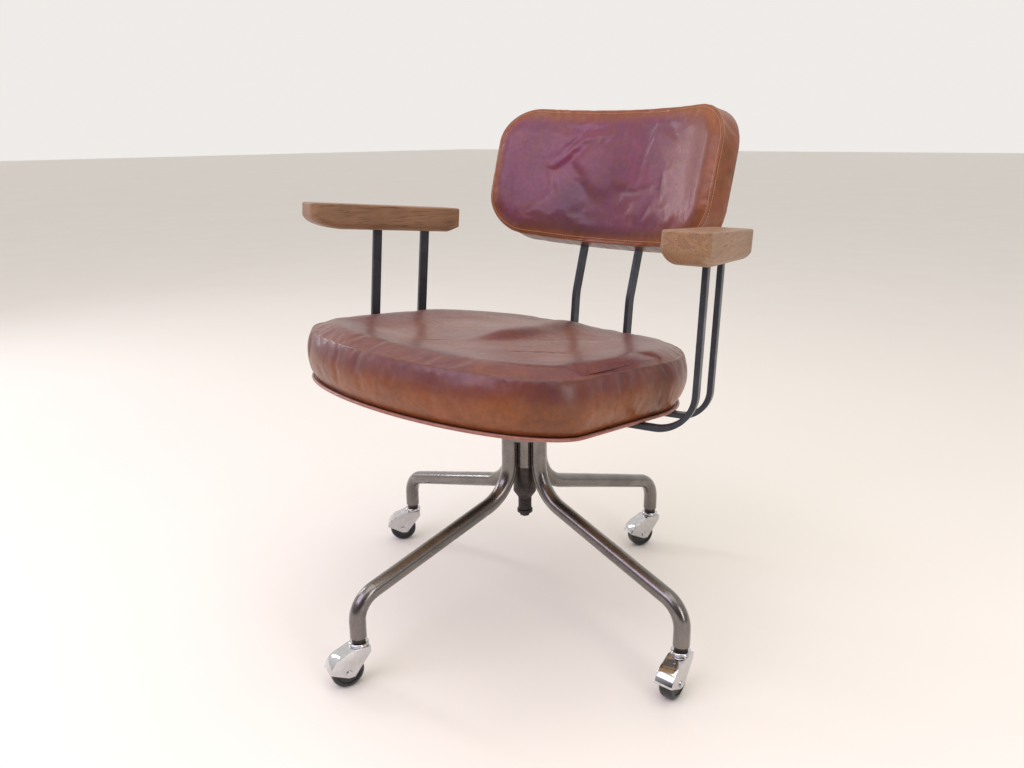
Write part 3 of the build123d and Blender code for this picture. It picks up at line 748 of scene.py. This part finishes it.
def seat_wrinkles(side, forward):
    """Shallow worn creases in the seat's top, as a depth."""
    creases = (
        # start, end, half-width and depth, in the seat's side and forward coordinates
        ((-0.095, 0.060), (-0.030, -0.045), 0.0022, 0.0011),
        ((-0.060, 0.020), (-0.010, -0.085), 0.0026, 0.0009),
        ((0.060, 0.140), (0.150, 0.050), 0.0022, 0.0012),
        ((0.045, 0.030), (0.100, -0.060), 0.0030, 0.0008),
        ((-0.160, 0.030), (-0.130, -0.060), 0.0030, 0.0007),
        ((-0.012, 0.110), (-0.045, 0.170), 0.0035, 0.0008),
    )
    place = np.stack([side, forward], axis=1)
    depth = np.zeros(len(place))
    for start, end, width, amount in creases:
        run = np.array(end) - np.array(start)
        share = np.clip(((place - start) @ run) / (run @ run), 0, 1)
        near = place - (np.array(start) + share[:, None] * run)
        wave = 0.0015 * np.sin(share * 9.0)
        gap = np.abs(near @ np.array([-run[1], run[0]]) / np.linalg.norm(run) - wave)
        ends = np.linalg.norm(near, axis=1)
        fade = np.sin(np.pi * np.clip(share * 0.96 + 0.02, 0, 1))
        depth += amount * fade * np.exp(-(np.maximum(gap, ends - 0.004) / width) ** 2)
    return depth


def make_seat():
    outline = seat_outline()
    normal = outward(outline)
    floor_up, crown = seat_span("seat_cushion", seat_up)
    seam_ring = outline - SEAM_INSET * normal
    top_insets = (0.0, 0.0012, 0.0030, 0.0060, 0.0100)
    flat, faces, inset = panel_field(seam_ring, top_insets, 0.0058)
    count = SEAT_STEPS
    up = seat_top_height(flat[:, 0], flat[:, 1], inset) - seat_wrinkles(flat[:, 0], flat[:, 1])
    points = [seat_place(side, forward, height) for (side, forward), height in zip(flat, up)]
    seam_up = -SEAM_DROP
    depth = seam_up - floor_up
    # boxing rings from the top seam down, then under the edge and up into the board's recess
    shares = (0.018, 0.05, 0.11, 0.19, 0.28, 0.37, 0.46, 0.55, 0.64, 0.73, 0.82, 0.90, 0.96, 1.0)
    rings = []
    for share in shares:
        belly = math.sin(math.pi * min(share * 1.04, 1.0)) ** 0.75
        out = -SEAM_INSET * (1 - share) - BOTTOM_INSET * share + belly * (GIRTH + 0.006)
        rings.append((out, seam_up - share * depth, share))
    rings.append((-BOARD_INSET, floor_up, 1.0))
    rings.append((-BOARD_INSET, floor_up + RECESS, 1.0))
    first = 0
    sides = []
    for out, height, share in rings:
        start = len(points)
        ring = outline + out * normal
        points.extend(seat_place(side, forward, height) for side, forward in ring)
        faces.extend(ring_faces(start, first, count))
        first = start
        sides.append((start, share))
    cap_ring = outline - BOARD_INSET * normal
    under, under_faces, _ = panel_field(cap_ring, (0.0, 0.012), 0.020)
    start = len(points) - count
    points.extend(seat_place(side, forward, floor_up + RECESS) for side, forward in under[count:])
    faces.extend(tuple(start + index for index in face) for face in under_faces)
    piece = new_piece(
        "seat_leather", points, faces, SEAT_LEATHER, SEAT_BODY, ["seat_cushion"]
    )
    total = len(points)
    held = np.zeros(total)
    cap = np.full(total, 0.0035)
    held[:count] = 1.0
    cap[: len(flat)] = 0.0045 * (1 - 0.6 * smooth_step(inset, 0.020, 0.060))
    held[sides[-4][0]:] = 1.0
    inflate(piece, held, cap, 2.2, shrink=-0.012)

    # what the material reads: tan low on the boxing, partly painted warm bounce light from below, and at
    # the seams; plum high and on top; dark for random stains, the seam lines and painted shade in
    # creases and under the edge
    place = np.array([vertex.co for vertex in piece.data.vertices])
    warm = np.zeros(total)
    dark = np.zeros(total)
    gather = np.zeros(total)
    along = np.zeros(total)
    step = np.linalg.norm(np.roll(outline, -1, axis=0) - outline, axis=1)
    run = np.concatenate([[0], np.cumsum(step)[:-1]])
    _, nearest = edge_distance(flat, seam_ring)
    along[: len(flat)] = run[nearest]
    top_noise = noise_at(place[: len(flat)], 11.0, 1)
    warm[: len(flat)] = 0.42 + 0.30 * top_noise - 0.18 * smooth_step(inset, 0.09, 0.03)
    warm[: len(flat)] += 0.35 * np.exp(-((inset - 0.001) / 0.0022) ** 2)
    border = smooth_step(inset, 0.012, 0.040) * smooth_step(inset, 0.085, 0.045)
    dark[: len(flat)] = 0.22 * border + 0.16 * smooth_step(top_noise, 0.1, 0.6)
    # painted shade in the worn creases
    dark[: len(flat)] += 0.40 * np.clip(seat_wrinkles(flat[:, 0], flat[:, 1]) / 0.0010, 0, 1)
    dark[: len(flat)] += 0.45 * np.exp(-(inset / 0.0012) ** 2)
    # painted shade along a fold beside the middle ridge
    fold = np.exp(-((flat[:, 0] - 0.014) / 0.013) ** 2) * smooth_step(flat[:, 1], 0.105, 0.0)
    dark[: len(flat)] += 0.42 * fold * smooth_step(inset, 0.004, 0.030)
    gather[: len(flat)] = 0.5 * smooth_step(inset, 0.010, 0.001)
    for start, share in sides:
        spread = slice(start, start + count)
        ring_noise = noise_at(place[spread], 16.0, 2)
        # tan rising toward the bottom of the boxing: partly the leather's own colour, partly painted
        # warm light bounced from below
        warm[spread] = 0.16 + 0.86 * smooth_step(share + 0.16 * ring_noise, 0.14, 0.62)
        dark[spread] = 0.30 * smooth_step(noise_at(place[spread], 9.0, 3), 0.05, 0.5)
        # painted shade where the boxing turns under the seat; the thin dark line at the top is the seam
        dark[spread] += 0.75 * smooth_step(share, 0.93, 1.0) + 0.35 * math.exp(-(share / 0.02) ** 2)
        gather[spread] = 0.7 * (1 - min(share / 0.10, 1.0))
        along[spread] = run
    paint(piece, warm=warm, dark=np.clip(dark, 0, 0.9), gather=gather, along=along)
    refine(piece)

    # welt under the bottom edge, with its sewn flange turned in to the board
    welt = Parts()
    low, high = seat_span("seat_piping", seat_up)
    radius = 0.0022
    ring = outline - (BOTTOM_INSET - 0.003) * normal
    path = [seat_place(side, forward, low + radius) for side, forward in ring]
    welt.add(*tube_along(path, radius, 10, closed=True))
    inner = outline - (BOARD_INSET - 0.0015) * normal
    lip_section = (
        (ring, low + 0.0030),
        (inner, high - 0.0004),
        (inner, low + 0.0006),
        (ring, low + 0.0012),
    )
    lip = []
    for edge, height in lip_section:
        lip.append([seat_place(side, forward, height) for side, forward in edge])
    welt_faces = []
    for index in range(4):
        welt_faces.extend(ring_faces(((index + 1) % 4) * count, index * count, count))
    welt.add([point for edge in lip for point in edge], welt_faces)
    new_piece("seat_welt", welt.points, welt.faces, WELT, SEAT_BODY, ["seat_piping"])
    return seam_ring, run


seat_seam, seat_run = make_seat()

# ================= Backrest =================

PAD_LEAN = math.radians(11.0)
PAD_RADIUS = 0.400
PAD_CORNER = 0.058
PAD_TOP_BOW = 0.0050
PAD_BOW = 0.0018
PAD_STEPS = 300
PAD_SEAM_DEPTH = 0.0065
PAD_SEAM_INSET = 0.0015
PAD_FLARE = 0.0035
pad_up = (seat_up * math.cos(PAD_LEAN) - seat_forward * math.sin(PAD_LEAN)).normalized()
pad_out = seat_side.cross(pad_up).normalized()


def pad_frame():
    """Middle of the backrest's front face, its half-width, half-height and depth."""
    low, high = reach("backrest_board", pad_up)
    middle_up = (low + high) / 2
    ends = reach("backrest_front_cushion", pad_out)
    rear = reach("backrest_rear_cushion", pad_out)
    half_width = reach("backrest_front_cushion", seat_side)[1]
    low, high = reach("backrest_front_cushion", pad_up)
    sag = PAD_RADIUS - math.sqrt(PAD_RADIUS**2 - (half_width - 0.004) ** 2)
    front = ends[1] - sag
    depth = front - rear[0]
    return pad_up * middle_up + pad_out * front, half_width, (high - low) / 2, depth


pad_origin, pad_half, pad_rise, pad_depth = pad_frame()


def pad_place(across, rise, depth):
    """A point of the backrest; depth is measured behind the curved front face."""
    reach_out = PAD_RADIUS - math.sqrt((PAD_RADIUS + depth) ** 2 - across * across)
    return pad_origin + seat_side * float(across) + pad_up * float(rise) + pad_out * float(reach_out)


def pad_outline():
    """The backrest's outline seen from the front: across and up from its middle."""
    half, rise, corner = pad_half, pad_rise, PAD_CORNER
    points = []
    for x, y, start in ((1, 1, 0), (-1, 1, 90), (-1, -1, 180), (1, -1, 270)):
        points += arc((x * (half - corner), y * (rise - corner)), (corner, corner), start, 90)
        end = start + 90
        last = (math.cos(math.radians(end)), math.sin(math.radians(end)))
        points.append((x * (half - corner) + corner * last[0], y * (rise - corner) + corner * last[1]))
    outline = even_closed(points, PAD_STEPS)
    # its edges bow outward a little, and the top edge most
    swell = 1 - (outline[:, 0] / half) ** 2
    outline[:, 1] += swell * np.where(outline[:, 1] > 0, PAD_TOP_BOW, -PAD_BOW)
    side_swell = (1 - (outline[:, 1] / rise) ** 2).clip(0) * (np.abs(outline[:, 0]) > half / 2)
    outline[:, 0] += np.sign(outline[:, 0]) * PAD_BOW * side_swell
    return outline


def pad_creases(across, rise):
    """Worn creases in the backrest's front, as a depth."""
    creases = (
        # start, end, half-width and depth, across and up from the middle of the pad
        ((0.018, -0.026), (0.082, -0.018), 0.0020, 0.0011),
        ((0.100, 0.004), (0.104, -0.032), 0.0026, 0.0012),
        ((0.090, -0.014), (0.106, -0.024), 0.0030, 0.0009),
        ((0.066, 0.085), (0.050, -0.010), 0.0030, 0.0006),
        ((-0.105, 0.020), (-0.060, 0.065), 0.0040, 0.0005),
        ((0.110, 0.060), (0.122, 0.052), 0.0030, 0.0008),
    )
    place = np.stack([across, rise], axis=1)
    depth = np.zeros(len(place))
    for start, end, width, amount in creases:
        run = np.array(end) - np.array(start)
        share = np.clip(((place - start) @ run) / (run @ run), 0, 1)
        near = np.linalg.norm(place - (np.array(start) + share[:, None] * run), axis=1)
        fade = np.sin(np.pi * np.clip(share * 0.94 + 0.03, 0, 1))
        depth += amount * fade * np.exp(-(near / width) ** 2)
    return depth


def make_backrest():
    outline = pad_outline()
    normal = outward(outline)
    count = PAD_STEPS
    seam_ring = outline - PAD_SEAM_INSET * normal
    insets = (0.0, 0.0012, 0.0028, 0.0055, 0.0095)
    flat, faces, inset = panel_field(seam_ring, insets, 0.0055)
    crease = pad_creases(flat[:, 0], flat[:, 1])
    crown = PAD_SEAM_DEPTH - 0.0080 * smooth_step(inset, -0.004, 0.026)
    crown = crown - 0.0010 * smooth_step(inset, 0.02, 0.08)
    points = [
        pad_place(across, rise, depth) for (across, rise), depth in zip(flat, crown + crease)
    ]
    shares = (0.03, 0.09, 0.18, 0.28, 0.40, 0.52, 0.64, 0.76, 0.86, 0.93, 0.98)
    rear_seam = pad_depth - 0.005
    rings = []
    for share in shares:
        flare = PAD_FLARE * smooth_step(share, 0.05, 0.9)
        depth = PAD_SEAM_DEPTH + share * (rear_seam - PAD_SEAM_DEPTH)
        rings.append((flare - PAD_SEAM_INSET, depth, share))
    first = 0
    sides = []
    for out, depth, share in rings:
        start = len(points)
        ring = outline + out * normal
        points.extend(pad_place(across, rise, depth) for across, rise in ring)
        faces.extend(ring_faces(start, first, count))
        first = start
        sides.append((start, share))
    start = len(points)
    back_depth = rear_seam + 0.0045 * smooth_step(inset, -0.003, 0.022)
    rear_flat = flat * (1 + PAD_FLARE / pad_half)
    points.extend(pad_place(across, rise, depth) for (across, rise), depth in zip(rear_flat, back_depth))
    faces.extend(ring_faces(start, first, count))
    front_faces = [face for face in faces if max(face) < len(flat)]
    faces.extend(tuple(start + index for index in reversed(face)) for face in front_faces)
    piece = new_piece(
        "backrest_leather", points, faces, BACK_LEATHER, SEAT_BODY,
        ["backrest_front_cushion", "backrest_rear_cushion"],
    )
    total = len(points)
    held = np.zeros(total)
    held[:count] = 1.0
    held[start:start + count] = 1.0
    cap = np.full(total, 0.0012)
    cap[: len(flat)] = 0.0040 * (1 - 0.45 * smooth_step(inset, 0.020, 0.060))
    inflate(piece, held, cap, 2.0, shrink=-0.010)

    place = np.array([vertex.co for vertex in piece.data.vertices])
    warm = np.zeros(total)
    dark = np.zeros(total)
    gather = np.zeros(total)
    along = np.zeros(total)
    step = np.linalg.norm(np.roll(outline, -1, axis=0) - outline, axis=1)
    run = np.concatenate([[0], np.cumsum(step)[:-1]])
    _, nearest = edge_distance(flat, seam_ring)
    front = slice(0, len(flat))
    rear = slice(start, start + len(flat))
    haze = noise_at(place[front], 9.0, 4)
    across, rise = flat[:, 0], flat[:, 1]
    rim = smooth_step(inset, 0.026 + 0.012 * haze, 0.002)
    right_end = 0.35 * smooth_step(across + 0.02 * haze, 0.06, 0.17)
    warm[front] = 0.06 + 0.94 * rim + right_end + 0.12 * haze
    # blue-brown stains left of the middle and near the top
    for spot, size, amount in (
        ((-0.055, -0.030), (0.040, 0.026), 0.45),
        ((-0.040, -0.070), (0.034, 0.020), 0.45),
        ((0.012, 0.004), (0.030, 0.022), 0.30),
        ((-0.020, 0.055), (0.050, 0.030), 0.18),
        ((0.055, 0.070), (0.030, 0.014), 0.30),
    ):
        gap = ((across - spot[0]) / size[0]) ** 2 + ((rise - spot[1]) / size[1]) ** 2
        dark[front] += amount * np.exp(-gap) * (0.8 + 0.5 * haze)
    # painted shade along the pad's lower edge and in its worn creases
    lower_edge_shade = np.exp(-((inset - 0.014) / 0.006) ** 2) * (rise < -0.05)
    dark[front] += 0.55 * np.clip(crease / 0.0010, 0, 1) + 0.35 * lower_edge_shade
    gather[front] = 0.45 * smooth_step(inset, 0.008, 0.001)
    along[front] = run[nearest]
    warm[rear] = 0.45 + 0.40 * noise_at(place[rear], 8.0, 5) + 0.4 * smooth_step(inset, 0.03, 0.01)
    dark[rear] = 0.35 * smooth_step(noise_at(place[rear], 10.0, 6), 0.0, 0.5)
    dark[rear] += 0.5 * np.exp(-(inset / 0.0015) ** 2)
    along[rear] = run[nearest]
    for ring_start, share in sides:
        spread = slice(ring_start, ring_start + count)
        grain = noise_at(place[spread], 14.0, 7)
        # painted shade: boxing that faces downward is made darker and less tan
        under = smooth_step(-normal[:, 1], 0.3, 0.9)
        warm[spread] = 0.92 + 0.2 * grain - 0.45 * under
        dark[spread] = 0.25 * smooth_step(grain, 0.1, 0.6) + 0.30 * under
        dark[spread] += 0.3 * smooth_step(share, 0.88, 1.0)
        gather[spread] = 0.6 * (1 - min(share / 0.2, 1.0))
        along[spread] = run
    paint(piece, warm=warm, dark=np.clip(dark, 0, 0.9), gather=gather, along=along)
    refine(piece)
    return outline, normal


pad_ring, pad_normal = make_backrest()


STITCH_PITCH = 0.0040
STITCH_GAP = 0.0011
STITCH_RADIUS = 0.00042
STITCH_SIDES = 6
# how far along a stitch, as a share of its length, and how high its middle line stands there
STITCH_ARCH = ((-0.5, -0.0002), (-0.3, 0.00030), (0.0, 0.00042), (0.3, 0.00030), (0.5, -0.0002))


def stitch_row(name, piece, path, rays):
    """Sewn stitches along a closed path, laid on a piece's surface."""
    skin = BVHTree.FromObject(piece, bpy.context.evaluated_depsgraph_get())
    row = Parts()
    lengths = [(path[(index + 1) % len(path)] - spot).length for index, spot in enumerate(path)]
    total = sum(lengths)
    count = int(total / STITCH_PITCH)
    runs = np.concatenate([[0], np.cumsum(lengths)])
    closed = path + [path[0]]
    closed_rays = rays + [rays[0]]

    def along(distance):
        index = int(np.searchsorted(runs, distance % total, side="right") - 1)
        share = (distance % total - runs[index]) / max(lengths[index], 1e-9)
        spot = closed[index].lerp(closed[index + 1], share)
        return spot, closed_rays[index].lerp(closed_rays[index + 1], share).normalized()

    for number in range(count):
        middle = number * total / count
        marks = []
        for share, lift in STITCH_ARCH:
            spot, ray = along(middle + share * (STITCH_PITCH - STITCH_GAP))
            hit, normal, _, _ = skin.ray_cast(spot - ray * 0.02, ray)
            if hit is None:
                break
            marks.append(hit + normal * lift)
        if len(marks) == len(STITCH_ARCH):
            row.add(*tube_along(marks, STITCH_RADIUS, STITCH_SIDES))
    new_piece(name, row.points, row.faces, THREAD, SEAT_BODY)


def backrest_stitches():
    """One row on the front beside the seam and one on the boxing behind it."""
    leather = bpy.data.objects["backrest_leather"]
    ring = pad_ring - 0.0052 * pad_normal
    path = [pad_place(across, rise, 0.0) for across, rise in ring]
    rays = []
    for (across, _), out in zip(ring, pad_normal):
        lean = across / PAD_RADIUS
        edgeward = seat_side * float(out[0]) + pad_up * float(out[1])
        ray = seat_side * float(lean) - pad_out - edgeward * 0.35
        rays.append(ray.normalized())
    stitch_row("backrest_front_stitches", leather, path, rays)
    side_path = [pad_place(across, rise, PAD_SEAM_DEPTH + 0.0030) for across, rise in pad_ring]
    side_rays = [-(seat_side * float(x) + pad_up * float(y)).normalized() for x, y in pad_normal]
    stitch_row("backrest_side_stitches", leather, side_path, side_rays)


backrest_stitches()

# ================= Armrests =================

ARM_SPLAY = 16.7
for sign, hand in ((1, "left"), (-1, "right")):
    # the grain runs along the armrest, which is splayed outward to the front
    dress([f"armrest_{hand}"], wood_material(f"oak_{hand}", -sign * ARM_SPLAY))

# ================= Lift screw =================

THREAD_PITCH = 0.004
THREAD_DEPTH = 0.0011


def make_spindle():
    """The lift spindle with a true helical thread."""
    low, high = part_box("lift_spindle")
    radius = (high.x - low.x) / 2
    bottom, top = low.z, high.z
    thread_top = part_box("column_bushing")[0].z
    sides = 48
    profile = ((0.0, 1.0), (0.22, 1.0), (0.40, 0.0), (0.62, 0.0), (0.80, 1.0))
    turns = int((thread_top - bottom) / THREAD_PITCH)
    points, rows = [], []
    for turn in range(turns):
        for share, full in profile:
            row = []
            for side in range(sides + 1):
                angle = 2 * math.pi * side / sides
                height = bottom + (turn + share + side / sides - 1) * THREAD_PITCH
                height = min(max(height, bottom), thread_top)
                near = radius - THREAD_DEPTH * (1 - full)
                row.append(len(points))
                points.append((near * math.cos(angle), near * math.sin(angle), height))
            rows.append(row)
    faces = []
    for lower, upper in zip(rows, rows[1:]):
        faces.extend((lower[i], lower[i + 1], upper[i + 1], upper[i]) for i in range(sides))
    mesh = bmesh.new()
    for point in points:
        mesh.verts.new(point)
    mesh.verts.ensure_lookup_table()
    for face in faces:
        mesh.faces.new([mesh.verts[index] for index in face])
    bmesh.ops.remove_doubles(mesh, verts=mesh.verts, dist=1e-5)
    bmesh.ops.dissolve_degenerate(mesh, edges=mesh.edges, dist=1e-6)
    rims = [edge for edge in mesh.edges if edge.is_boundary]
    bmesh.ops.holes_fill(mesh, edges=rims, sides=0)
    bmesh.ops.create_cone(
        mesh, cap_ends=True, segments=64, radius1=radius, radius2=radius, depth=top - thread_top,
        matrix=Matrix.Translation((0, 0, (top + thread_top) / 2)),
    )
    bmesh.ops.recalc_face_normals(mesh, faces=mesh.faces)
    made = bpy.data.meshes.new("lift_screw")
    mesh.to_mesh(made)
    mesh.free()
    made.materials.append(IRON)
    piece = bpy.data.objects.new("lift_screw", made)
    bpy.context.scene.collection.objects.link(piece)
    made.shade_smooth()
    made.set_sharp_from_angle(angle=math.radians(35))
    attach(piece, SEAT_BODY)
    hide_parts("lift_spindle")


make_spindle()

# ================= Caster hoods =================


HOOD_EDGE = 0.0009


def soften_hood(corner):
    """A copy of a caster's pressed-metal hood with its edges rounded."""
    name = f"caster_shell_{corner}"
    node = f"caster_hood_{corner}"
    made = bmesh.new()
    made.from_mesh(nodes[node].data)
    bmesh.ops.remove_doubles(made, verts=made.verts, dist=2e-6)
    bmesh.ops.dissolve_limit(
        made, angle_limit=math.radians(1.0), verts=made.verts, edges=made.edges
    )
    least = math.radians(30)
    sharp = [edge for edge in made.edges if edge.is_manifold and edge.calc_face_angle() > least]
    bmesh.ops.bevel(
        made, geom=sharp, offset=HOOD_EDGE, offset_type="OFFSET", segments=3, profile=0.5,
        affect="EDGES", clamp_overlap=True, miter_outer="ARC",
    )
    mesh = bpy.data.meshes.new(name)
    made.to_mesh(mesh)
    made.free()
    mesh.shade_smooth()
    mesh.set_sharp_from_angle(angle=math.radians(40))
    mesh.materials.append(CHROME)
    piece = bpy.data.objects.new(name, mesh)
    bpy.context.scene.collection.objects.link(piece)
    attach(piece, f"caster_{corner}")
    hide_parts(node)


for corner in CORNERS:
    soften_hood(corner)

# ================= Welds =================


BEAD_RADIUS = 0.0021
BEAD_SIDES = 8
BEAD_STEPS = 24
BEAD_STEP = 0.0019


def weld_bead(path, seed):
    """A hand-laid weld: a round bead with ripples."""
    points, faces = tube_along(path, BEAD_RADIUS, BEAD_SIDES)
    rough = []
    for index, point in enumerate(points):
        step = index // BEAD_SIDES
        unevenness = noise.noise(point * 300 + Vector((seed, 0, 0)))
        ripple = 0.00018 * math.sin(step * 1.7) + 0.00022 * unevenness
        centre = path[step]
        rough.append(point + (point - centre).normalized() * ripple)
    return rough, faces


def make_welds():
    """Beads up both sides of each leg where it meets the hub column."""
    beads = Parts()
    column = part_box("hub_column")
    centre_radius = (column[1].x - column[0].x) / 2
    for seed, corner in enumerate(CORNERS):
        low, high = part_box(f"leg_{corner}")
        middle = (Vector(low) + Vector(high)) / 2
        heading = Vector((middle.x, middle.y, 0)).normalized()
        across = Vector((-heading.y, heading.x, 0))
        for sign in (1, -1):
            path = []
            for step in range(BEAD_STEPS):
                height = column[0].z + 0.002 + step * BEAD_STEP
                wave = 0.0003 * math.sin(step * 2.1 + seed)
                spot = heading * (centre_radius - 0.001 + wave) + across * sign * 0.0068
                path.append(Vector((spot.x, spot.y, height)))
            beads.add(*weld_bead(path, seed + sign))
    new_piece("hub_weld_beads", beads.points, beads.faces, IRON, BASE_BODY)


make_welds()
